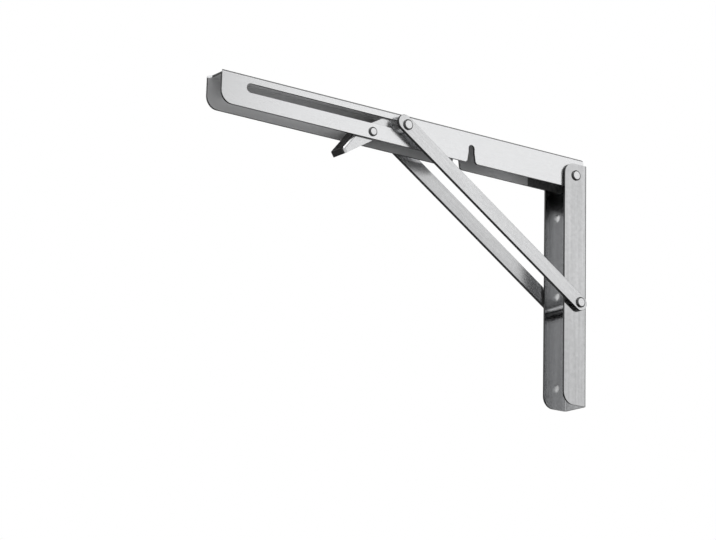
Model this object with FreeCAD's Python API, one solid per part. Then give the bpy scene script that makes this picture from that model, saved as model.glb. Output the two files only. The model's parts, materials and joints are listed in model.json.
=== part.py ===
import FreeCAD, Part

import math
import os

from FreeCAD import Vector

# Folding shelf bracket of stainless steel: a wall channel, a shelf arm that folds down into it,
# two flat braces outside them, and a sprung latch lever that locks the braces' sliding studs.
# Millimetres. The wall plane is X = 0, the open arm points along +X and Z is up. Y = 0 is the
# mirror plane, and +Y is the near side. The origin is midway between the top and the bottom
# wall screw, on the wall.

# Sheet and bends
SHEET = 1.5
BEND_OUTSIDE = 2.0
BEND_INSIDE = BEND_OUTSIDE - SHEET

# Wall channel
LEG_WIDTH = 22.0
LEG_DEPTH = 20.0
LEG_LENGTH = 169.0
LEG_CORNER = 8.0
WALL_HOLE_DIAMETER = 5.4
TOP_HOLE_FROM_TOP = 31.0
BOTTOM_HOLE_FROM_BOTTOM = 17.0
MIDDLE_HOLE_SHARE = 0.463

# Shelf arm
ARM_REACH = 300.0
ARM_HEIGHT = 21.8
ARM_TIP_CORNER = 8.0
ARM_BACK_CORNER = 2.5
ARM_ABOVE_PIVOT = 13.3
END_CUT_DEPTH = 3.0
END_CUT_CORNER = 1.5
BOARD_HOLE_DIAMETER = 5.0
BOARD_HOLES = 4
FIRST_BOARD_HOLE_FROM_WALL = 45.0
LAST_BOARD_HOLE_FROM_TIP = 30.0

# Arm pivot
PIVOT_FROM_TOP = 8.3
PIVOT_SHANK = 5.0
PIVOT_SLEEVE = 8.0
PIVOT_WASHER = 10.0

# Brace
STRIP_WIDTH = 10.6
STRIP_THICKNESS = 2.5
FOOT_BEHIND_PIVOT = 1.9
FOOT_DROP_SHARE = 0.3
STRIP_BEYOND_FOOT = 0.5
STRIP_BEYOND_TIP = 2.5
FOOT_SHANK = 3.0
FOOT_SLEEVE = 4.6
FOOT_SLEEVE_WAIST = 3.6
FOOT_WAIST_LENGTH = 2.8
FOOT_WASHER = 10.0
FOOT_WASHER_THICKNESS = 0.4

# Sliding studs and the slots that guide them
STUD_REACH_SHARE = 0.5253
SLOT_ABOVE_PIVOT = 4.8
STUD_DIAMETER = 6.0
STUD_COLLAR = 9.0
TIP_SHANK = 4.0
SLOT_RUN_OUT = 1.3

# Notch that clears the foot sleeve when the arm is folded
NOTCH_MOUTH_PLAY = 1.3
NOTCH_NECK_PLAY = 0.3
NOTCH_OVER_SLEEVE = 3.5
NOTCH_TAPER_ABOVE_SLEEVE = 0.6
NOTCH_FLARE = 1.2

# Latch lever
LATCH_BEYOND_STUD = 24.7
LATCH_DROP = 3.9
LATCH_SHEET = 1.5
LATCH_SHANK = 4.0
LATCH_BUSH = 5.5
LATCH_BEND_OUTSIDE = 1.9
LOBE_LENGTH = 12.0
LOBE_RAMP = 8.5
LOBE_DROP = 4.9
LEVER_WEB_LENGTH = 23.0
LEVER_WEB_ANGLE = 50.8
LEVER_KNEE_AHEAD = 22.5
LEVER_KNEE_DROP = 14.7
LEVER_LIP_BACK = 2.4
LEVER_LIP_DROP = 3.6
LEVER_LOBE_FOOT = 7.2
LOBE_CORNER = 1.2
LOBE_FOOT_CORNER = 0.9
RAMP_CORNER = 4.0
LIP_CORNER = 0.5
BEND_RELIEF = 0.9

# Latch spring
WIRE = 1.0
SPRING_OVER_BUSH = 0.5
SPRING_TURNS = 3
SPRING_PITCH = 1.12
SPRING_ARM_LENGTH = 30.0
SPRING_ARM_DIP = 4.0
SPRING_HOOK_BEND = 1.5
SPRING_PAST_WEB = 3.0
WIRE_FACETS = 6

# Rivet heads
HEAD_DIAMETER = 7.2
HEAD_HEIGHT = 1.1
LATCH_HEAD_DIAMETER = 6.2
HEAD_EDGE = 0.4

# Clearances
RUNNING_FIT = 0.05
SLOT_FIT = 0.15
PIVOT_GAP = 0.5
SIDE_PLAY = 0.3
BACK_PLAY = 0.4
WASHER_PLAY = 0.1
HEAD_PLAY = 0.1
LOCK_PLAY = 0.25
STUD_INSET = 0.05
WIRE_FIT = 0.1
SHORTEST_EDGE = 0.001

# Places that follow from the sizes
WALL_HOLE_SPAN = LEG_LENGTH - TOP_HOLE_FROM_TOP - BOTTOM_HOLE_FROM_BOTTOM
WALL_HOLES_Z = [WALL_HOLE_SPAN * (0.5 - share) for share in (0, MIDDLE_HOLE_SHARE, 1)]
LEG_TOP_Z = WALL_HOLES_Z[0] + TOP_HOLE_FROM_TOP
LEG_BOTTOM_Z = LEG_TOP_Z - LEG_LENGTH
PIVOT_Z = LEG_TOP_Z - PIVOT_FROM_TOP
ARM_TOP_Z = PIVOT_Z + ARM_ABOVE_PIVOT
ARM_BOTTOM_Z = ARM_TOP_Z - ARM_HEIGHT
PIVOT_X = SHEET + SIDE_PLAY + ARM_HEIGHT - ARM_ABOVE_PIVOT
ARM_BACK_X = SHEET + BACK_PLAY
BOARD_HOLE_STEP = (
    ARM_REACH - FIRST_BOARD_HOLE_FROM_WALL - LAST_BOARD_HOLE_FROM_TIP
) / (BOARD_HOLES - 1)
BOARD_HOLES_X = [FIRST_BOARD_HOLE_FROM_WALL + i * BOARD_HOLE_STEP for i in range(BOARD_HOLES)]
FOOT_X = PIVOT_X - FOOT_BEHIND_PIVOT
FOOT_DROP = FOOT_DROP_SHARE * ARM_REACH
FOOT_Z = PIVOT_Z - FOOT_DROP
STUD_X = STUD_REACH_SHARE * ARM_REACH
SLOT_Z = PIVOT_Z + SLOT_ABOVE_PIVOT
LATCH_X = STUD_X + LATCH_BEYOND_STUD
LATCH_Z = PIVOT_Z - LATCH_DROP

# Where each layer of the sandwich starts and ends, measured from the mirror plane
LEG_OUTER_Y = LEG_WIDTH / 2
LEG_INNER_Y = LEG_OUTER_Y - SHEET
ARM_OUTER_Y = LEG_INNER_Y - PIVOT_GAP
ARM_INNER_Y = ARM_OUTER_Y - SHEET
ARM_WIDTH = 2 * ARM_OUTER_Y
STRIP_INNER_Y = LEG_OUTER_Y + FOOT_WASHER_THICKNESS + WASHER_PLAY
STRIP_OUTER_Y = STRIP_INNER_Y + STRIP_THICKNESS
LEVER_OUTER_Y = ARM_INNER_Y - SIDE_PLAY
LEVER_INNER_Y = LEVER_OUTER_Y - LATCH_SHEET
SIDES = {"near": 1, "far": -1}

# The brace turns about the foot while its tip stays on the slot's centre line. Folded, the
# arm's upward side faces away from the wall, and the slot's line stands at FOLDED_STUD_X
BRACE_LENGTH = math.hypot(STUD_X - FOOT_X, SLOT_Z - FOOT_Z)
BRACE_ANGLE = math.degrees(math.atan2(SLOT_Z - FOOT_Z, STUD_X - FOOT_X))
FOLDED_STUD_X = PIVOT_X + SLOT_ABOVE_PIVOT
FOLDED_DROP = math.sqrt(BRACE_LENGTH**2 - (FOLDED_STUD_X - FOOT_X) ** 2)
FOLDED_REACH = PIVOT_X + FOOT_DROP + FOLDED_DROP

# The lever's lobes end just clear of the studs, and its web runs up from the knee
LOCK_X = STUD_DIAMETER / 2 + LOCK_PLAY - LATCH_BEYOND_STUD
LOBE_TOP = SLOT_Z + STUD_DIAMETER / 2 - LATCH_Z
LEVER_KNEE = (LEVER_KNEE_AHEAD, -LEVER_KNEE_DROP)
LEVER_LIP_END = (LEVER_KNEE_AHEAD - LEVER_LIP_BACK, -LEVER_KNEE_DROP - LEVER_LIP_DROP)
WEB_SLOPE = math.radians(LEVER_WEB_ANGLE)
WEB_TOP = (
    LEVER_KNEE[0] - LEVER_WEB_LENGTH * math.cos(WEB_SLOPE),
    LEVER_KNEE[1] + LEVER_WEB_LENGTH * math.sin(WEB_SLOPE),
)

# In the folded arm the foot sleeve lies this far along it, at this height in the open arm
NOTCH_X = PIVOT_X + FOOT_DROP
SLEEVE_IN_ARM_Z = PIVOT_Z - FOOT_BEHIND_PIVOT

# The spring's free arm dips just enough to rest on the web's upper end
SPRING_RADIUS = LATCH_BUSH / 2 + SPRING_OVER_BUSH + WIRE / 2
SPRING_PRESS_DIP = (
    90
    - math.degrees(math.atan2(WEB_TOP[1], WEB_TOP[0]))
    - math.degrees(math.acos((SPRING_RADIUS - WIRE / 2 - RUNNING_FIT) / math.hypot(*WEB_TOP)))
)


def in_xz(y):
    """Places an outline drawn in X and Z on the plane at y."""
    return lambda u, v: Vector(u, y, v)


def in_xy(z):
    """Places an outline drawn in X and Y on the plane at z."""
    return lambda u, v: Vector(u, v, z)


def in_yz(x):
    """Places an outline drawn in Y and Z on the plane at x."""
    return lambda u, v: Vector(x, u, v)


def rounded(before, corner, after, radius):
    """The first, middle and last point of the arc that rounds a corner."""
    if not radius:
        return [corner]
    way_in, way_out = (before - corner).normalize(), (after - corner).normalize()
    half = way_in.getAngle(way_out) / 2
    inward = (way_in + way_out).normalize()
    middle = corner + inward * (radius / math.sin(half) - radius)
    setback = radius / math.tan(half)
    return [corner + way_in * setback, middle, corner + way_out * setback]


def joined(turn, following):
    """The edges of one corner, and the line that leads from it to the following one."""
    edges = [Part.Arc(*turn).toShape()] if len(turn) > 1 else []
    if turn[-1].distanceToPoint(following[0]) > SHORTEST_EDGE:
        edges.append(Part.makeLine(turn[-1], following[0]))
    return edges


def outline_face(corners, place):
    """A flat face whose corners (u, v, radius) are rounded by their radius."""
    points = [place(u, v) for u, v, _ in corners]
    turns = []
    for i, (_, _, radius) in enumerate(corners):
        following = points[(i + 1) % len(points)]
        turns.append(rounded(points[i - 1], points[i], following, radius))
    edges = []
    for i, turn in enumerate(turns):
        edges += joined(turn, turns[(i + 1) % len(turns)])
    return Part.Face(Part.Wire(edges))


def plate(corners, y_from, y_to):
    """A flat plate with the given outline in X and Z."""
    return outline_face(corners, in_xz(y_from)).extrude(Vector(0, y_to - y_from, 0))


def rod(x, z, diameter, y_from, y_to):
    """A round rod across the bracket."""
    return Part.makeCylinder(diameter / 2, y_to - y_from, Vector(x, y_from, z), Vector(0, 1, 0))


def across(x, z, diameter):
    """A round cutter that goes through the whole bracket."""
    return rod(x, z, diameter, -LEG_WIDTH, LEG_WIDTH)


def tube(x, z, outside, inside, y_from, y_to):
    """A sleeve, bush or washer across the bracket."""
    return rod(x, z, outside, y_from, y_to).cut(rod(x, z, inside, y_from, y_to))


def mirrored(shape, side):
    """The shape on the near side, or its mirror image on the far side."""
    return shape if side > 0 else shape.mirror(Vector(0, 0, 0), Vector(0, 1, 0))


def channel_outline(width, depth, closed_at, towards):
    """A channel's section: its web lies at closed_at and its walls run towards (1 or -1)."""
    half = width / 2
    tip = closed_at + towards * depth
    inside = closed_at + towards * SHEET
    return [
        (closed_at, -half, BEND_OUTSIDE),
        (tip, -half, 0),
        (tip, -half + SHEET, 0),
        (inside, -half + SHEET, BEND_INSIDE),
        (inside, half - SHEET, BEND_INSIDE),
        (tip, half - SHEET, 0),
        (tip, half, 0),
        (closed_at, half, BEND_OUTSIDE),
    ]


def rivet_head(x, z, diameter, y):
    """A flat pressed head on the near side, with a chamfered rim."""
    radius = diameter / 2
    profile = [
        (0, 0, 0),
        (radius, 0, 0),
        (radius, HEAD_HEIGHT - HEAD_EDGE, 0),
        (radius - HEAD_EDGE, HEAD_HEIGHT, 0),
        (0, HEAD_HEIGHT, 0),
    ]
    face = outline_face(profile, lambda u, v: Vector(x + u, y + v, z))
    return face.revolve(Vector(x, y, z), Vector(0, 1, 0), 360)


def through_rivet(x, z, shank, head, head_y):
    """A rivet right across the bracket, with a head outside each side."""
    heads = [mirrored(rivet_head(x, z, head, head_y), side) for side in SIDES.values()]
    return rod(x, z, shank, -head_y, head_y).fuse(heads).removeSplitter()


def slot_outline(x_from, x_to, z, width):
    """A slot with round ends whose extremes are x_from and x_to."""
    half = width / 2
    corners = [(x_from, -half), (x_to, -half), (x_to, half), (x_from, half)]
    return [(x, z + v, half) for x, v in corners]


def wall_channel():
    section = outline_face(channel_outline(LEG_WIDTH, LEG_DEPTH, 0, 1), in_xy(LEG_BOTTOM_Z))
    channel = section.extrude(Vector(0, 0, LEG_LENGTH))
    side = [
        (0, LEG_BOTTOM_Z, 0),
        (LEG_DEPTH, LEG_BOTTOM_Z, LEG_CORNER),
        (LEG_DEPTH, LEG_TOP_Z, LEG_CORNER),
        (0, LEG_TOP_Z, 0),
    ]
    channel = channel.common(plate(side, -LEG_WIDTH, LEG_WIDTH))
    holes = [across(PIVOT_X, PIVOT_Z, PIVOT_SHANK), across(FOOT_X, FOOT_Z, FOOT_SHANK)]
    for z in WALL_HOLES_Z:
        centre = Vector(-SHEET, 0, z)
        holes.append(Part.makeCylinder(WALL_HOLE_DIAMETER / 2, 3 * SHEET, centre, Vector(1, 0, 0)))
    return channel.cut(holes)


def notch_cutter():
    """The notch in the arm's lower edge: straight below its round top, then wider to its mouth."""
    x = NOTCH_X
    wide = FOOT_SLEEVE / 2 + NOTCH_MOUTH_PLAY
    narrow = FOOT_SLEEVE / 2 + NOTCH_NECK_PLAY
    mouth = ARM_BOTTOM_Z - NOTCH_FLARE
    top = SLEEVE_IN_ARM_Z + FOOT_SLEEVE / 2 + NOTCH_OVER_SLEEVE
    taper = SLEEVE_IN_ARM_Z + NOTCH_TAPER_ABOVE_SLEEVE
    corners = [
        (x - wide - 2 * NOTCH_FLARE, mouth, 0),
        (x + wide + 2 * NOTCH_FLARE, mouth, 0),
        (x + wide, ARM_BOTTOM_Z + NOTCH_FLARE, 0),
        (x + narrow, taper, 0),
        (x + narrow, top, narrow),
        (x - narrow, top, narrow),
        (x - narrow, taper, 0),
        (x - wide, ARM_BOTTOM_Z + NOTCH_FLARE, 0),
    ]
    return plate(corners, -ARM_WIDTH, ARM_WIDTH)


def shelf_arm():
    outline = channel_outline(ARM_WIDTH, ARM_HEIGHT, ARM_TOP_Z, -1)
    section = outline_face([(v, u, r) for u, v, r in outline], in_yz(ARM_BACK_X))
    arm = section.extrude(Vector(ARM_REACH - ARM_BACK_X, 0, 0))
    side = [
        (ARM_BACK_X, ARM_BOTTOM_Z, PIVOT_X - ARM_BACK_X),
        (ARM_REACH, ARM_BOTTOM_Z, ARM_TIP_CORNER),
        (ARM_REACH, ARM_TOP_Z, 0),
        (ARM_BACK_X, ARM_TOP_Z, ARM_BACK_CORNER),
    ]
    arm = arm.common(plate(side, -ARM_WIDTH, ARM_WIDTH))

    fit = STUD_DIAMETER / 2 + SLOT_FIT
    slot = slot_outline(STUD_X - fit, FOLDED_REACH + fit + SLOT_RUN_OUT, SLOT_Z, 2 * fit)
    half = ARM_WIDTH / 2 - BEND_OUTSIDE
    end_cut = [
        (ARM_REACH - END_CUT_DEPTH, -half, END_CUT_CORNER),
        (ARM_REACH + END_CUT_DEPTH, -half - END_CUT_DEPTH, 0),
        (ARM_REACH + END_CUT_DEPTH, half + END_CUT_DEPTH, 0),
        (ARM_REACH - END_CUT_DEPTH, half, END_CUT_CORNER),
    ]
    cut_floor = ARM_TOP_Z - BEND_OUTSIDE
    anchor = spring_anchor()
    cutters = [
        plate(slot, -ARM_WIDTH, ARM_WIDTH),
        notch_cutter(),
        outline_face(end_cut, in_xy(cut_floor)).extrude(Vector(0, 0, 2 * BEND_OUTSIDE)),
        across(PIVOT_X, PIVOT_Z, PIVOT_SHANK + 2 * RUNNING_FIT),
        across(LATCH_X, LATCH_Z, LATCH_SHANK),
        rod(anchor.x, anchor.z, WIRE + 2 * WIRE_FIT, -ARM_WIDTH, 0),
    ]
    for x in BOARD_HOLES_X:
        centre = Vector(x, 0, ARM_TOP_Z - 2 * SHEET)
        cutters.append(Part.makeCylinder(BOARD_HOLE_DIAMETER / 2, 3 * SHEET, centre))
    return arm.cut(cutters)


def brace_strip(side):
    """A flat bar from the foot rivet to the sliding stud, drawn level and then raised."""
    half = STRIP_WIDTH / 2
    x_from = FOOT_X - STRIP_BEYOND_FOOT - half
    x_to = FOOT_X + BRACE_LENGTH + STRIP_BEYOND_TIP + half
    bar = plate(slot_outline(x_from, x_to, FOOT_Z, STRIP_WIDTH), STRIP_INNER_Y, STRIP_OUTER_Y)
    tip_x = FOOT_X + BRACE_LENGTH
    foot_hole = across(FOOT_X, FOOT_Z, FOOT_SHANK + 2 * RUNNING_FIT)
    bar = bar.cut([foot_hole, across(tip_x, FOOT_Z, TIP_SHANK)])
    bar.rotate(Vector(FOOT_X, 0, FOOT_Z), Vector(0, 1, 0), -BRACE_ANGLE)
    return mirrored(bar, side)


def tip_rivet(side):
    """The pressed head and shank that close the strip onto its stud."""
    shank = rod(STUD_X, SLOT_Z, TIP_SHANK, STRIP_INNER_Y, STRIP_OUTER_Y)
    head = rivet_head(STUD_X, SLOT_Z, HEAD_DIAMETER, STRIP_OUTER_Y)
    return mirrored(shank.fuse(head).removeSplitter(), side)


def slide_stud(side):
    """A turned stud: it runs in the arm's slot, and its collar keeps the strip off the arm."""
    collar_from = ARM_OUTER_Y + WASHER_PLAY
    spindle = rod(STUD_X, SLOT_Z, STUD_DIAMETER, ARM_INNER_Y + STUD_INSET, collar_from)
    collar = rod(STUD_X, SLOT_Z, STUD_COLLAR, collar_from, STRIP_INNER_Y - SIDE_PLAY)
    return mirrored(spindle.fuse(collar).removeSplitter(), side)


def latch_point(offset, radius=0):
    """A corner of the lever, given from the lever's own pivot."""
    return (LATCH_X + offset[0], LATCH_Z + offset[1], radius)


def latch_lever():
    """A pressed lever of U section: its lobes block the studs and its lip hangs below the arm."""
    # Two plates with this outline stand side by side
    body = plate(
        [
            latch_point((LOCK_X, LEVER_LOBE_FOOT), LOBE_FOOT_CORNER),
            latch_point(LEVER_LIP_END, LIP_CORNER),
            latch_point(LEVER_KNEE, LIP_CORNER),
            latch_point(WEB_TOP, LIP_CORNER),
            latch_point((LOCK_X + LOBE_LENGTH + LOBE_RAMP, LOBE_TOP - LOBE_DROP), RAMP_CORNER),
            latch_point((LOCK_X + LOBE_LENGTH, LOBE_TOP), LOBE_CORNER),
            latch_point((LOCK_X, LOBE_TOP), LOBE_CORNER),
        ],
        -LEVER_OUTER_Y,
        LEVER_OUTER_Y,
    )

    # Between them only the web and the lip are left, each one sheet thick
    reach = 2 * LEVER_WEB_LENGTH
    uphill = Vector(-math.cos(WEB_SLOPE), math.sin(WEB_SLOPE), 0)
    outward = Vector(math.sin(WEB_SLOPE), math.cos(WEB_SLOPE), 0)
    knee, web_top = Vector(*LEVER_KNEE, 0), Vector(*WEB_TOP, 0)
    down_lip = (Vector(*LEVER_LIP_END, 0) - knee).normalize()
    lip_inward = Vector(down_lip.y, -down_lip.x, 0)
    inner_knee = knee - (outward - lip_inward) * LATCH_SHEET
    top, bottom = inner_knee + uphill * reach, inner_knee + down_lip * reach
    hollow = [
        inner_knee,
        top,
        Vector(-reach, top.y, 0),
        Vector(-reach, bottom.y, 0),
        bottom,
    ]
    open_top = [
        web_top - outward * reach,
        web_top + outward * reach,
        web_top + (outward + uphill) * reach,
        web_top + (uphill - outward) * reach,
    ]
    cutters = [
        plate([latch_point((p.x, p.y)) for p in corners], -LEVER_INNER_Y, LEVER_INNER_Y)
        for corners in (hollow, open_top)
    ]

    # The bends are rounded, and a small relief ends them at the knee
    knee_x, knee_z, _ = latch_point(LEVER_KNEE)
    reliefs = [
        mirrored(rod(knee_x, knee_z, 2 * BEND_RELIEF, LEVER_INNER_Y, LEG_WIDTH), side)
        for side in SIDES.values()
    ]
    bore = across(LATCH_X, LATCH_Z, LATCH_SHANK + 2 * RUNNING_FIT)
    lever = body.cut(cutters + reliefs + [bore])
    lever = lever.common(bent_bar(knee, uphill, outward, reach))
    return lever.common(bent_bar(knee, down_lip, -lip_inward, reach))


def bent_bar(point, way, outward, reach):
    """A bar along way whose two outward edges are rounded like the lever's bends."""
    half = LEVER_OUTER_Y
    x, z, _ = latch_point((point.x, point.y))
    corner = Vector(x, 0, z)
    along, out = Vector(way.x, 0, way.y), Vector(outward.x, 0, outward.y)
    section = [
        (-half, 0, LATCH_BEND_OUTSIDE),
        (half, 0, LATCH_BEND_OUTSIDE),
        (half, -reach, 0),
        (-half, -reach, 0),
    ]
    face = outline_face(section, lambda u, v: corner - along * reach + Vector(0, u, 0) + out * v)
    return face.extrude(along * (2 * reach))


def spring_coil():
    """The coil's centre line, wound over the top towards the front, from far to near."""
    turns = SPRING_TURNS + (SPRING_ARM_DIP + SPRING_PRESS_DIP) / 360
    length = SPRING_PITCH * turns
    coil = Part.makeHelix(SPRING_PITCH, length, SPRING_RADIUS)
    coil.rotate(Vector(0, 0, 0), Vector(1, 0, 0), -90)
    coil.rotate(Vector(0, 0, 0), Vector(0, 1, 0), -90 - SPRING_ARM_DIP)
    coil.translate(Vector(LATCH_X, -length / 2, LATCH_Z))
    return coil


def spring_anchor():
    """Where the spring's long arm turns outwards, into its hole in the shelf arm."""
    first = spring_coil().Edges[0]
    start, way = first.valueAt(first.FirstParameter), first.tangentAt(first.FirstParameter)
    return start - way * SPRING_ARM_LENGTH


def wire_section(centre):
    """The wire's section: a polygon, because a round one would fill the mesh with triangles."""
    turns = [2 * math.pi * i / WIRE_FACETS for i in range(WIRE_FACETS + 1)]
    points = [Vector(math.cos(a), 0, math.sin(a)) * (WIRE / 2) + centre for a in turns]
    return Part.Wire(Part.makePolygon(points))


def latch_spring():
    """A torsion spring round the bush: one arm hooks into the shelf arm, one presses the web."""
    coil, corner = spring_coil(), spring_anchor()
    first, last = coil.Edges[0], coil.Edges[-1]
    start, end = first.valueAt(first.FirstParameter), last.valueAt(last.LastParameter)
    hook = Vector(corner.x, -ARM_OUTER_Y, corner.z)
    bend = rounded(hook, corner, start, SPRING_HOOK_BEND)
    tongue = end + last.tangentAt(last.LastParameter) * (WEB_TOP[0] + SPRING_PAST_WEB)
    path = joined([hook], bend) + joined(bend, [start]) + coil.Edges + joined([end], [tongue])
    return Part.Wire(path).makePipeShell([wire_section(hook)], True, True)


def pivot_washer(side):
    """A thin washer that keeps the arm's wall off the channel's wall."""
    inner_y = ARM_OUTER_Y + WASHER_PLAY
    ring = tube(PIVOT_X, PIVOT_Z, PIVOT_WASHER, PIVOT_SHANK, inner_y, LEG_INNER_Y)
    return mirrored(ring, side)


def foot_sleeve():
    """A sleeve between the channel's walls, turned thinner in the middle."""
    waist = FOOT_WAIST_LENGTH / 2
    sleeve = tube(FOOT_X, FOOT_Z, FOOT_SLEEVE, FOOT_SHANK, -LEG_INNER_Y, LEG_INNER_Y)
    return sleeve.cut(tube(FOOT_X, FOOT_Z, 2 * FOOT_SLEEVE, FOOT_SLEEVE_WAIST, -waist, waist))


def foot_washer(side):
    """A thin washer that keeps the strip off the channel's wall."""
    outer_y = STRIP_INNER_Y - WASHER_PLAY
    ring = tube(FOOT_X, FOOT_Z, FOOT_WASHER, FOOT_SHANK, LEG_OUTER_Y, outer_y)
    return mirrored(ring, side)


def build_parts():
    """Every piece in its place, with the bracket open."""
    parts = {
        "wall_channel": wall_channel(),
        "shelf_arm": shelf_arm(),
        "arm_pivot_rivet": through_rivet(
            PIVOT_X, PIVOT_Z, PIVOT_SHANK, HEAD_DIAMETER, LEG_OUTER_Y
        ),
        "arm_pivot_sleeve": tube(
            PIVOT_X,
            PIVOT_Z,
            PIVOT_SLEEVE,
            PIVOT_SHANK + 2 * RUNNING_FIT,
            -ARM_INNER_Y,
            ARM_INNER_Y,
        ),
        "brace_foot_rivet": through_rivet(
            FOOT_X, FOOT_Z, FOOT_SHANK, HEAD_DIAMETER, STRIP_OUTER_Y + HEAD_PLAY
        ),
        "foot_sleeve": foot_sleeve(),
        "latch_lever": latch_lever(),
        "latch_rivet": through_rivet(
            LATCH_X, LATCH_Z, LATCH_SHANK, LATCH_HEAD_DIAMETER, ARM_OUTER_Y
        ),
        "latch_bush": tube(
            LATCH_X,
            LATCH_Z,
            LATCH_BUSH,
            LATCH_SHANK,
            SIDE_PLAY / 2 - LEVER_INNER_Y,
            LEVER_INNER_Y - SIDE_PLAY / 2,
        ),
        "latch_spring": latch_spring(),
    }
    for side_name, side in SIDES.items():
        parts[f"brace_strip_{side_name}"] = brace_strip(side)
        parts[f"tip_rivet_{side_name}"] = tip_rivet(side)
        parts[f"slide_stud_{side_name}"] = slide_stud(side)
        parts[f"pivot_washer_{side_name}"] = pivot_washer(side)
        parts[f"foot_washer_{side_name}"] = foot_washer(side)
    return parts


os.makedirs("parts", exist_ok=True)
for name, shape in build_parts().items():
    shape.Solids[0].exportStep(f"parts/{name}.step")
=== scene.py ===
# %% [markdown]
# A folding shelf bracket in polished stainless steel. The solids come from the CAD frame, in
# metres, with +X away from the wall, +Z up and the bracket's mirror plane at Y = 0. This lesson
# gives them soft edges and steel finishes, and photographs them in a plain studio.

# %% Load the frame
import json
import math

import bpy
from mathutils import Matrix, Vector


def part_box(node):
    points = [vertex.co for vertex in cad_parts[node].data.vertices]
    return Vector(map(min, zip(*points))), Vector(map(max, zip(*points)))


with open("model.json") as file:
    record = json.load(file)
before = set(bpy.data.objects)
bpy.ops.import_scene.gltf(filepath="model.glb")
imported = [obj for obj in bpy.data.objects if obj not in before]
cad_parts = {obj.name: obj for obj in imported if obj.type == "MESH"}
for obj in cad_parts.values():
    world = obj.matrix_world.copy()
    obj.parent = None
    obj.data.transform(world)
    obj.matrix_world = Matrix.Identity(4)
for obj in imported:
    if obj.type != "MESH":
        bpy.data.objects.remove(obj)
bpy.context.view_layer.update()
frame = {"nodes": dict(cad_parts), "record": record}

MM = 0.001
nodes = frame["nodes"]

# %% [markdown]
# A rivet's head and a bar's edges are broken with a file or in the press: a narrow rounded rim
# catches the light there. Bevelling by hand would touch hundreds of edges, so each of these
# solids gets the same three modifiers. Weld joins its loose triangles, Decimate in planar mode
# merges the flat ones, and Bevel rounds what is sharper than a bend. The thin sheet keeps its
# sheared edges, whose finish comes further down.

# %% Round the cut edges
BAR_RIM = 0.28
HEAD_RIM = 0.12
RIMS = {
    "brace_strip_near": BAR_RIM,
    "brace_strip_far": BAR_RIM,
    "arm_pivot_rivet": HEAD_RIM,
    "brace_foot_rivet": HEAD_RIM,
    "latch_rivet": HEAD_RIM,
    "tip_rivet_near": HEAD_RIM,
    "tip_rivet_far": HEAD_RIM,
}
BEND_LIMIT = math.radians(34)
WELD_GAP = 0.001 * MM
FLAT_LIMIT = math.radians(0.5)
RIM_SEGMENTS = 2


def soften(piece, width):
    """Rounds a solid's sharp edges by that many millimetres."""
    weld = piece.modifiers.new("weld", "WELD")
    weld.merge_threshold = WELD_GAP
    flatten = piece.modifiers.new("flatten", "DECIMATE")
    flatten.decimate_type = "DISSOLVE"
    flatten.angle_limit = FLAT_LIMIT
    rim = piece.modifiers.new("rim", "BEVEL")
    rim.width = width * MM
    rim.segments = RIM_SEGMENTS
    rim.limit_method = "ANGLE"
    rim.angle_limit = BEND_LIMIT
    rim.harden_normals = True


for name, width in RIMS.items():
    soften(nodes[name], width)
print("softened", len(RIMS), "pieces")

# %% [markdown]
# Shader maths reads best as plain sums. This small class wraps a node's output socket, and each
# operator adds the Math node that does the same sum, so a mask can be written as 1 - mask.

# %% Shader maths


class Value:
    """A number that changes from place to place, as the output of a shader node."""

    def __init__(self, tree, socket):
        self.tree = tree
        self.socket = socket

    def math(self, operation, *others):
        """A Math node, fed with this value and the others."""
        node = self.tree.nodes.new("ShaderNodeMath")
        node.operation = operation
        for slot, item in zip(node.inputs, others):
            if isinstance(item, Value):
                self.tree.links.new(item.socket, slot)
            else:
                slot.default_value = item
        return Value(self.tree, node.outputs[0])

    def __add__(self, other):
        return self.math("ADD", self, other)

    def __radd__(self, other):
        return self.math("ADD", other, self)

    def __sub__(self, other):
        return self.math("SUBTRACT", self, other)

    def __rsub__(self, other):
        return self.math("SUBTRACT", other, self)

    def __mul__(self, other):
        return self.math("MULTIPLY", self, other)

    def __rmul__(self, other):
        return self.math("MULTIPLY", other, self)

    def __pow__(self, other):
        return self.math("POWER", self, other)

    def __abs__(self):
        return self.math("ABSOLUTE", self)

    def larger(self, other):
        """The larger of two numbers at each place."""
        return self.math("MAXIMUM", self, other)

    def above(self, limit):
        """1 where the number is over the limit, and 0 elsewhere."""
        return self.math("GREATER_THAN", self, limit)

    def wave(self):
        """Its sine, brought between 0 and 1."""
        return self.math("SINE", self) * 0.5 + 0.5

    def clamped(self):
        """The same number, kept between 0 and 1."""
        return self.math("MINIMUM", self.larger(0.0), 1.0)


# %% [markdown]
# Every other node comes from one method, so that a material reads as a list of what it is made
# of. The same class serves the world, and a finish adds the shader and the Object coordinates.

# %% Shader nodes


class Shading:
    """A node tree, with a short way to add nodes to it."""

    def __init__(self, tree):
        self.tree = tree

    def node(self, kind, settings=None, **values):
        """Adds a node: its settings first, then the values or links of its sockets."""
        node = self.tree.nodes.new("ShaderNode" + kind)
        for key, value in (settings or {}).items():
            setattr(node, key, value)
        for key, value in values.items():
            self.feed(node.inputs[key.replace("_", " ")], value)
        return node

    def feed(self, socket, value):
        """Sets a socket, or links it when the value changes from place to place."""
        if isinstance(value, Value):
            value = value.socket
        if isinstance(value, bpy.types.NodeSocket):
            self.tree.links.new(value, socket)
        else:
            socket.default_value = value

    def blend(self, factor, first, second):
        """A colour between two others."""
        mix = self.node("Mix", {"data_type": "RGBA"})
        self.feed(mix.inputs["Factor"], factor)
        self.feed(mix.inputs[6], first)
        self.feed(mix.inputs[7], second)
        return mix.outputs[2]


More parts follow.
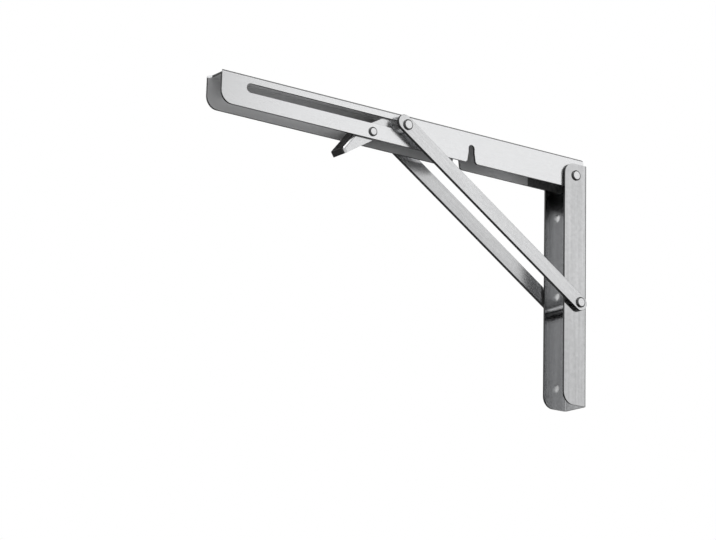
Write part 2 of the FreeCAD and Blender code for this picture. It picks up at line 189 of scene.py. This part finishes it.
class Finish(Shading):
    """A new material."""

    def __init__(self, name):
        self.material = bpy.data.materials.new(name)
        self.material.use_nodes = True
        super().__init__(self.material.node_tree)
        self.shader = self.tree.nodes["Principled BSDF"]

    def set(self, **values):
        """Sets or feeds the shader's own sockets."""
        for key, value in values.items():
            self.feed(self.shader.inputs[key.replace("_", " ")], value)

    def mapped(self, scale=(1.0, 1.0, 1.0), turn=(0.0, 0.0, 0.0), centre=(0.0, 0.0, 0.0)):
        """Object coordinates from a centre, turned and then stretched."""
        place = self.node("TexCoord").outputs["Object"]
        moved = self.node("VectorMath", {"operation": "SUBTRACT"})
        self.feed(moved.inputs[0], place)
        self.feed(moved.inputs[1], centre)
        turned = self.node("Mapping", Vector=moved.outputs[0], Rotation=turn)
        return self.node("Mapping", Vector=turned.outputs[0], Scale=scale).outputs[0]

    def noise(self, scale, detail=2.0, turn=(0.0, 0.0, 0.0)):
        """A cloudy value between 0 and 1, with its own scale along each axis."""
        cloud = self.node("TexNoise", Vector=self.mapped(scale, turn), Scale=1.0, Detail=detail)
        return Value(self.tree, cloud.outputs["Fac"])

    def parts(self, output):
        """X, Y and Z of an output of the Texture Coordinate node, such as Object or Normal."""
        split = self.node("SeparateXYZ", Vector=self.node("TexCoord").outputs[output])
        return [Value(self.tree, socket) for socket in split.outputs]

    def out_from(self, centre):
        """How far a point is from a line across the bracket through the centre, in millimetres."""
        flat = self.mapped((1.0 / MM, 0.0, 1.0 / MM), centre=centre)
        length = self.node("VectorMath", {"operation": "LENGTH"})
        self.feed(length.inputs[0], flat)
        return Value(self.tree, length.outputs["Value"])

    def bump(self, height, depth):
        """Raises the surface by a height that changes over it."""
        node = self.node("Bump", Strength=1.0, Distance=depth, Height=height)
        self.set(Normal=node.outputs["Normal"])


# %% [markdown]
# Stainless sheet of this kind is rolled, then polished along its length. Its colour barely
# changes, but it isn't perfectly even: long faint streaks follow the polishing, broad patches
# are a little duller where hands and packing touched it, short hairline scratches cross it, and
# fine waves bend what it mirrors. Where the press cut the sheet, nobody polished the cut, so it is
# dull; its colour is painted near black as painted shade, and that dark line outlines every piece.

# %% Rolled steel
NO_TURN = (0.0, 0.0, 0.0)
ALONG_X = (40.0, 900.0, 900.0)
ALONG_Z = (380.0, 380.0, 14.0)
SMUDGE = (22.0, 22.0, 22.0)
FLECK = (420.0, 420.0, 420.0)
SCRATCH = (90.0, 2600.0, 2600.0)
STREAK_DETAIL = 3.0
SCRATCH_SLANT = math.radians(24)
SCRATCH_FOCUS = 9.0
SCRATCH_GAIN = 24.0
STREAK_SHARE = 0.5
PATCH_SHARE = 0.2
FLECK_SHARE = 0.3
CONTRAST = 3.0
PATCH_DULL = 0.5
STREAK_DULL = 0.35
SCRATCH_DULL = 0.06
STREAK_HEIGHT = 0.4
PATCH_HEIGHT = 0.5
FLECK_HEIGHT = 0.03
SCRATCH_DEPTH = 0.1
SHEET_RELIEF = 0.02 * MM
# Near black: painted shade on the cut faces and on the rims of rivets and washers.
CUT_AND_PAINTED_SHADE_TONE = 0.05
CUT_DULL = 0.2
INSIDE_DULL = 0.16
INSIDE_FILM = 0.5
RED_LEAN = 0.995
BLUE_LEAN = 1.01


def grey(tone):
    """Steel's colour at that brightness: it leans very slightly to blue."""
    return (tone * RED_LEAN, tone, tone * BLUE_LEAN, 1.0)


def rolled_steel(name, tone, dull, mottle, grain, cut_mask, inside=None, turn=NO_TURN):
    """Polished sheet: tone is its brightness, dull its roughness, mottle how uneven its tone is.

    Grain is how its noise is stretched. Inside is a mask and what gives its colour, for a
    channel whose inside was never polished; that colour carries painted light and shade."""
    finish = Finish(name)
    streak = finish.noise(grain, STREAK_DETAIL, turn)
    patch = finish.noise(SMUDGE)
    fleck = finish.noise(FLECK, 1.0)
    slanted = (turn[0], turn[1] + SCRATCH_SLANT, turn[2])
    scratch = (finish.noise(SCRATCH, turn=slanted) ** SCRATCH_FOCUS * SCRATCH_GAIN).clamped()
    cut = cut_mask(finish)
    mixed = streak * STREAK_SHARE + patch * PATCH_SHARE + fleck * FLECK_SHARE
    shade = ((mixed - 0.5) * CONTRAST + 0.5).clamped()
    polished = finish.blend(shade, grey(tone * (1 - mottle)), grey(tone * (1 + mottle)))
    rough = dull + (patch - 0.5) * (dull * PATCH_DULL) + (streak - 0.5) * (dull * STREAK_DULL)
    metal = 1.0
    if inside:
        inside_mask, inside_colour_and_painted_light = inside
        unpolished = inside_mask(finish)
        # The inside's colour includes painted light and painted shade.
        polished = finish.blend(unpolished, polished, inside_colour_and_painted_light(finish))
        rough = rough + unpolished * INSIDE_DULL
        metal = 1.0 - unpolished * INSIDE_FILM
    # The cut faces are painted near black: painted shade.
    finish.set(Base_Color=finish.blend(cut, polished, grey(CUT_AND_PAINTED_SHADE_TONE)))
    finish.set(Roughness=rough + scratch * SCRATCH_DULL + cut * CUT_DULL, Metallic=metal)
    raised = streak * STREAK_HEIGHT + patch * PATCH_HEIGHT + fleck * FLECK_HEIGHT
    finish.bump(raised - scratch * SCRATCH_DEPTH, SHEET_RELIEF)
    return finish.material


# %% [markdown]
# A cut is found by its direction. The bracket's walls all face sideways, along Y, so on a wall
# whatever faces another way is a cut. A channel's web faces along X or Z, so near the web that
# direction counts as polished too, and so do the bends that lead to it, whose lowest value is
# 0.7. A flat bar has no bends, so its broken edges count as cut as well. Every cut found here
# gets the near-black painted shade.

# %% Where the sheet was cut
BEND = 2.2 * MM
UNDER_BEND = 0.62
UNDER_FLAT = 0.94
CUT_STEEPNESS = 8.0
leg_low = Vector(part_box("wall_channel")[0])
arm_high = Vector(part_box("shelf_arm")[1])
lever_high = Vector(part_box("latch_lever")[1])


def cut_where(flat, limit=UNDER_BEND):
    """1 where flat, which is 1 on a polished face, falls under the limit."""
    return ((limit - flat) * CUT_STEEPNESS).clamped()


def bar_cuts(finish):
    return cut_where(abs(finish.parts("Normal")[1]), UNDER_FLAT)


def leg_cuts(finish):
    facing, place = finish.parts("Normal"), finish.parts("Object")
    web = 1 - place[0].above(leg_low.x + BEND)
    return cut_where(abs(facing[1]).larger(abs(facing[0]) * web))


def arm_cuts(finish):
    facing, place = finish.parts("Normal"), finish.parts("Object")
    web = place[2].above(arm_high.z - BEND)
    return cut_where(abs(facing[1]).larger(abs(facing[2]) * web))


def lever_cuts(finish):
    wall = abs(finish.parts("Object")[1]).above(lever_high.y - BEND)
    return cut_where(abs(finish.parts("Normal")[1])) * wall


# %% [markdown]
# A polishing wheel reaches the outside of a channel and not its inside. In the photograph the
# arm's inside is an even grey, so here it mirrors less and takes the room's soft light more, and
# the lever's inside is painted almost black as painted shade. Inside is where a point lies deeper
# than most of the sheet's thickness. From the notch to the wall the arm's inside is painted
# brighter, as painted light, and its last stretch, next to the wall, is painted as painted shade:
# a blotchy, nearly black film that starts with a sharp edge. That may be grease from the pivot or
# only something that the steel mirrors there.

# %% Inside the channels
DEEP = 1.3 * MM
ARM_FILM = 0.55
# Painted light: the arm's inside is made brighter towards the wall.
ARM_PAINTED_LIGHT_TONE = 0.78
PAINTED_LIGHT_START = 88.0 * MM
PAINTED_LIGHT_FADE = 30.0 * MM
# Painted shade: the lever's inside is painted almost black.
LEVER_PAINTED_SHADE_TONE = 0.03
# Painted shade: the arm's inside is made nearly black beside the pivot.
PIVOT_PAINTED_SHADE_END = 38.0 * MM
PIVOT_PAINTED_SHADE_DARKEST = 0.05
PIVOT_PAINTED_SHADE_PALEST = 0.24


def arm_inside(finish):
    _, y, z = finish.parts("Object")
    return (1 - abs(y).above(arm_high.y - DEEP)) * (1 - z.above(arm_high.z - DEEP))


# Painted light brightens the arm's inside towards the wall; painted shade darkens it by the pivot.
def arm_film_and_painted_light(finish):
    """The mill's film, painted brighter towards the wall, and painted shade beside the pivot."""
    along = finish.parts("Object")[0]
    painted_light_mask = ((PAINTED_LIGHT_START - along) * (1 / PAINTED_LIGHT_FADE)).clamped()
    mill_and_painted_light = finish.blend(painted_light_mask, grey(ARM_FILM), grey(ARM_PAINTED_LIGHT_TONE))
    pivot_shade_mask = 1 - along.above(PIVOT_PAINTED_SHADE_END)
    shade_blotch = finish.noise(FLECK, 1.0)
    pivot_painted_shade = finish.blend(shade_blotch, grey(PIVOT_PAINTED_SHADE_DARKEST), grey(PIVOT_PAINTED_SHADE_PALEST))
    return finish.blend(pivot_shade_mask, mill_and_painted_light, pivot_painted_shade)


def lever_inside(finish):
    return 1 - abs(finish.parts("Object")[1]).above(lever_high.y - DEEP)


# Painted shade inside the lever's channel.
def lever_painted_shade(finish):
    return grey(LEVER_PAINTED_SHADE_TONE)


arm_steel = rolled_steel(
    "arm_steel",
    tone=0.8,
    dull=0.22,
    mottle=0.03,
    grain=ALONG_X,
    cut_mask=arm_cuts,
    inside=(arm_inside, arm_film_and_painted_light),
)
channel_steel = rolled_steel(
    "channel_steel", tone=0.58, dull=0.13, mottle=0.14, grain=ALONG_Z, cut_mask=leg_cuts
)
print("rolled", arm_steel.name, channel_steel.name)

# %% [markdown]
# The braces are polished along their own length, so their grain is turned to their slope. The
# slope is worked out from where the frame says the two rivets of a brace are. The far bar is
# given a darker tone than the near one, as painted shade, so each has its own tone.

# %% Brace steel


def middle(name):
    """The middle of a node's box."""
    low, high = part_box(name)
    return (Vector(low) + Vector(high)) / 2


foot = middle("foot_washer_near")
tip = middle("tip_rivet_near")
brace_slope = math.atan2(tip.z - foot.z, tip.x - foot.x)
brace_turn = (0.0, brace_slope, 0.0)
# The far bar's lower tone is painted shade.
BRACE_TONES_WITH_PAINTED_SHADE = {"brace_strip_near": 0.68, "brace_strip_far": 0.58}
BRACE_DULL = 0.24
BRACE_MOTTLE = 0.1
braces = {}
for piece_name, brace_tone_with_shade in BRACE_TONES_WITH_PAINTED_SHADE.items():
    braces[piece_name] = rolled_steel(
        "brace_steel_" + piece_name,
        tone=brace_tone_with_shade,
        dull=BRACE_DULL,
        mottle=BRACE_MOTTLE,
        grain=ALONG_X,
        cut_mask=bar_cuts,
        turn=brace_turn,
    )
print("brace slope", round(math.degrees(brace_slope), 1), "degrees")

# %% [markdown]
# Rivets, studs, sleeves and washers are turned or pressed round. A lathe leaves fine rings about
# the middle, which show as a soft shimmer and not as lines, and the outer rim of a rivet's head
# or a washer is painted dark: painted shade. Each piece's rings need its own middle, so each gets
# its own copy.
# The spring's wire is drawn, and darker: across so thin a wire, the rings pass for its die marks.

# %% Turned steel
RING_STEP = 0.16
RING_TONES = {"rivet_steel": 0.76, "turned_steel": 0.7, "washer_steel": 0.62, "spring_steel": 0.45}
RING_DULL = {"rivet_steel": 0.2, "turned_steel": 0.16, "washer_steel": 0.3, "spring_steel": 0.26}
# How strongly each piece's outer rim is painted dark, as painted shade.
RIM_PAINTED_SHADE = {"rivet_steel": 0.95, "turned_steel": 0.0, "washer_steel": 0.6, "spring_steel": 0.0}
PAINTED_RIM_WIDTH = 0.9
RING_WOBBLE = 3.0
RING_SHARE = 0.4
RING_DARK = 0.95
RING_LIGHT = 1.03
RING_ROUGH = 0.04
PATCH_ROUGH = 0.08
RING_RELIEF = 0.003 * MM


def turned_steel(slot_name, piece_name):
    """Steel with lathe rings about the middle of one piece."""
    tone, dull = RING_TONES[slot_name], RING_DULL[slot_name]
    finish = Finish(slot_name + "_" + piece_name)
    radius = finish.out_from(middle(piece_name))
    wobble = finish.noise(FLECK, 1.0)
    ring = (radius * (2 * math.pi / RING_STEP) + wobble * RING_WOBBLE).wave()
    patch = finish.noise(SMUDGE)
    shade = ring * RING_SHARE + patch * (1 - RING_SHARE)
    turned = finish.blend(shade, grey(tone * RING_DARK), grey(tone * RING_LIGHT))
    low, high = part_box(piece_name)
    inner = (high[2] - low[2]) / 2 / MM - PAINTED_RIM_WIDTH
    # Painted shade: the outer ring of a head or washer is blended towards near black.
    rim = RIM_PAINTED_SHADE[slot_name] * radius.above(inner)
    finish.set(Base_Color=finish.blend(rim, turned, grey(CUT_AND_PAINTED_SHADE_TONE)))
    rough = dull + ring * RING_ROUGH + (patch - 0.5) * PATCH_ROUGH
    finish.set(Roughness=rough, Metallic=1.0)
    finish.bump(ring * 0.5 + wobble * 0.5, RING_RELIEF)
    return finish.material


# %% [markdown]
# The lever is stamped from duller sheet and tumbled to take its burrs off, which leaves an even,
# cloudy surface with no direction.

# %% Lever steel
TUMBLED = (260.0, 260.0, 260.0)
lever_steel = rolled_steel(
    "lever_steel",
    tone=0.72,
    dull=0.22,
    mottle=0.06,
    grain=TUMBLED,
    cut_mask=lever_cuts,
    inside=(lever_inside, lever_painted_shade),
)
print("lever", lever_steel.name)

# %% [markdown]
# Each piece takes its finish from the material slot that the record names for it. What isn't cut
# from sheet is turned or drawn, and gets a turned finish about its own middle.

# %% Give every piece its finish
SHEETS = {"arm_steel": arm_steel, "channel_steel": channel_steel, "lever_steel": lever_steel}
for part in frame["record"]["subparts"]:
    slot_name, piece_name = part["material_slot"], part["node"]
    steel = SHEETS.get(slot_name) or braces.get(piece_name) or turned_steel(slot_name, piece_name)
    for slot in nodes[piece_name].material_slots:
        slot.material = steel
print("finishes", len({slot.material for piece in nodes.values() for slot in piece.material_slots}))

# %% [markdown]
# A studio photograph of polished steel is mostly a photograph of what the steel mirrors. The
# world is white for the camera and for mirror rays, and a plain grey for the light that falls on
# dull surfaces. A pale floor lies so far down that no camera at the photograph's distance gets
# under it, and it is wide enough that a level view doesn't show where it ends.

# %% World and floor
WHITE = (1.0, 1.0, 1.0, 1.0)
AMBIENT = 0.7
FLOOR_Z = -1.9
FLOOR_SIZE = 27.5
FLOOR_GREY = (0.9, 0.9, 0.9, 1.0)
FLOOR_DULL = 0.9

world = bpy.data.worlds.new("studio")
bpy.context.scene.world = world
world.use_nodes = True
world.node_tree.nodes.clear()
studio = Shading(world.node_tree)
rays = studio.node("LightPath")
kinds = ("Is Camera Ray", "Is Glossy Ray", "Is Transmission Ray")
camera_ray, mirror_ray, through_ray = (Value(studio.tree, rays.outputs[kind]) for kind in kinds)
seen = (camera_ray + mirror_ray + through_ray).clamped()
ambient = studio.node("Background", Color=WHITE, Strength=AMBIENT)
white = studio.node("Background", Color=WHITE, Strength=1.0)
chosen = studio.node("MixShader", Fac=seen)
studio.feed(chosen.inputs[1], ambient.outputs[0])
studio.feed(chosen.inputs[2], white.outputs[0])
studio.node("OutputWorld", Surface=chosen.outputs[0])

bpy.ops.object.select_all(action="DESELECT")
bpy.ops.mesh.primitive_plane_add(size=FLOOR_SIZE, location=(0.0, 0.0, FLOOR_Z))
floor = bpy.context.object
floor.name = "studio_floor"
bpy.ops.object.transform_apply(location=True)
floor_paint = Finish("floor_paint")
floor_paint.set(Base_Color=FLOOR_GREY, Roughness=FLOOR_DULL)
floor.data.materials.append(floor_paint.material)
print("floor at", FLOOR_Z)

# %% [markdown]
# One large soft box above the room gives the floor its soft shadow. White surroundings alone
# make steel look like paper, so a studio hangs dark cards where a face should read dark, and
# paler ones where it should only lose a little. The camera doesn't see them: only mirror rays do.
# Each card is placed by the way in which the bracket sees it.

# %% Lamp and cards
MIDDLE = Vector((0.12, 0.0, 0.0))
BLACK = (0.0, 0.0, 0.0, 1.0)
CARDS = {
    # name: the way to it, its distance, width, height and tone
    "low_card": ((0.15, -0.9, -0.36), 0.8, 1.5, 0.4, 0.02),
    "high_card": ((-0.25, -0.12, 0.75), 0.8, 1.3, 0.9, 0.2),
    "web_card": ((-0.135, -0.784, 0.606), 0.8, 0.6, 0.4, 0.03),
    "tip_card": ((-0.02, 0.627, 0.14), 0.66, 0.4, 0.7, 0.64),
    "foot_card": ((-0.45, 0.6, -0.02), 0.75, 0.36, 0.36, 0.84),
    "floor_card": ((0.05, 0.3, -1.0), 0.5, 0.8, 0.7, 0.03),
    "wall_card": ((-1.0, -0.05, 0.15), 0.8, 0.8, 0.8, 0.02),
}


def aimed(place, aim):
    """The turn and place of something at place that faces aim."""
    way = Vector(aim) - Vector(place)
    return Matrix.Translation(place) @ way.to_track_quat("-Z", "Y").to_matrix().to_4x4()


def soft_box(name, place, size, glow):
    """A square area lamp that faces the bracket and glows as bright as that."""
    lamp = bpy.data.lights.new(name, "AREA")
    lamp.shape = "SQUARE"
    lamp.size = size
    lamp.energy = glow * math.pi * size**2
    holder = bpy.data.objects.new(name, lamp)
    holder.matrix_world = aimed(place, MIDDLE)
    bpy.context.scene.collection.objects.link(holder)


def card(name, way, distance, width, height, tone):
    """A card that the steel mirrors, seen from the bracket's middle along way."""
    bpy.ops.object.select_all(action="DESELECT")
    bpy.ops.mesh.primitive_plane_add(size=1.0)
    panel = bpy.context.object
    panel.name = name
    panel.data.transform(Matrix.Diagonal((width, height, 1.0, 1.0)))
    panel.data.transform(aimed(MIDDLE + Vector(way).normalized() * distance, MIDDLE))
    paint = Finish(name)
    paint.set(Base_Color=BLACK, Emission_Color=(tone, tone, tone, 1.0))
    paint.set(Emission_Strength=1.0, Roughness=1.0)
    panel.data.materials.append(paint.material)
    panel.visible_camera = False
    panel.visible_diffuse = False
    panel.visible_shadow = False


soft_box("key_box", place=(0.7, 0.5, 1.3), size=1.0, glow=1.5)
for card_name, sizes in CARDS.items():
    card(card_name, *sizes)

# %% [markdown]
# The camera's place and lens were found by fitting the bracket's corners and rivets to the
# photograph. It is a long lens, a little below the bracket and well out from the wall.

# %% Camera
CAMERA_PLACE = Vector((1.1469, 1.3325, -0.4451))
LOOK = Vector((-0.56609, -0.78405, 0.25460))
UP = Vector((0.17007, 0.19113, 0.96673))
FOCAL_PIXELS = 2641.7
FRAME_WIDTH = 716.0
SENSOR = 36.0

lens = bpy.data.cameras.new("camera")
lens.sensor_width = SENSOR
lens.lens = FOCAL_PIXELS / FRAME_WIDTH * SENSOR
camera = bpy.data.objects.new("camera", lens)
back = -LOOK.normalized()
right = UP.cross(back).normalized()
above = back.cross(right)
turn = Matrix((right, above, back)).transposed().to_4x4()
camera.matrix_world = Matrix.Translation(CAMERA_PLACE) @ turn
bpy.context.scene.collection.objects.link(camera)
bpy.context.scene.camera = camera
bpy.context.scene.view_settings.view_transform = "Standard"
print("lens", round(lens.lens, 2), "mm")
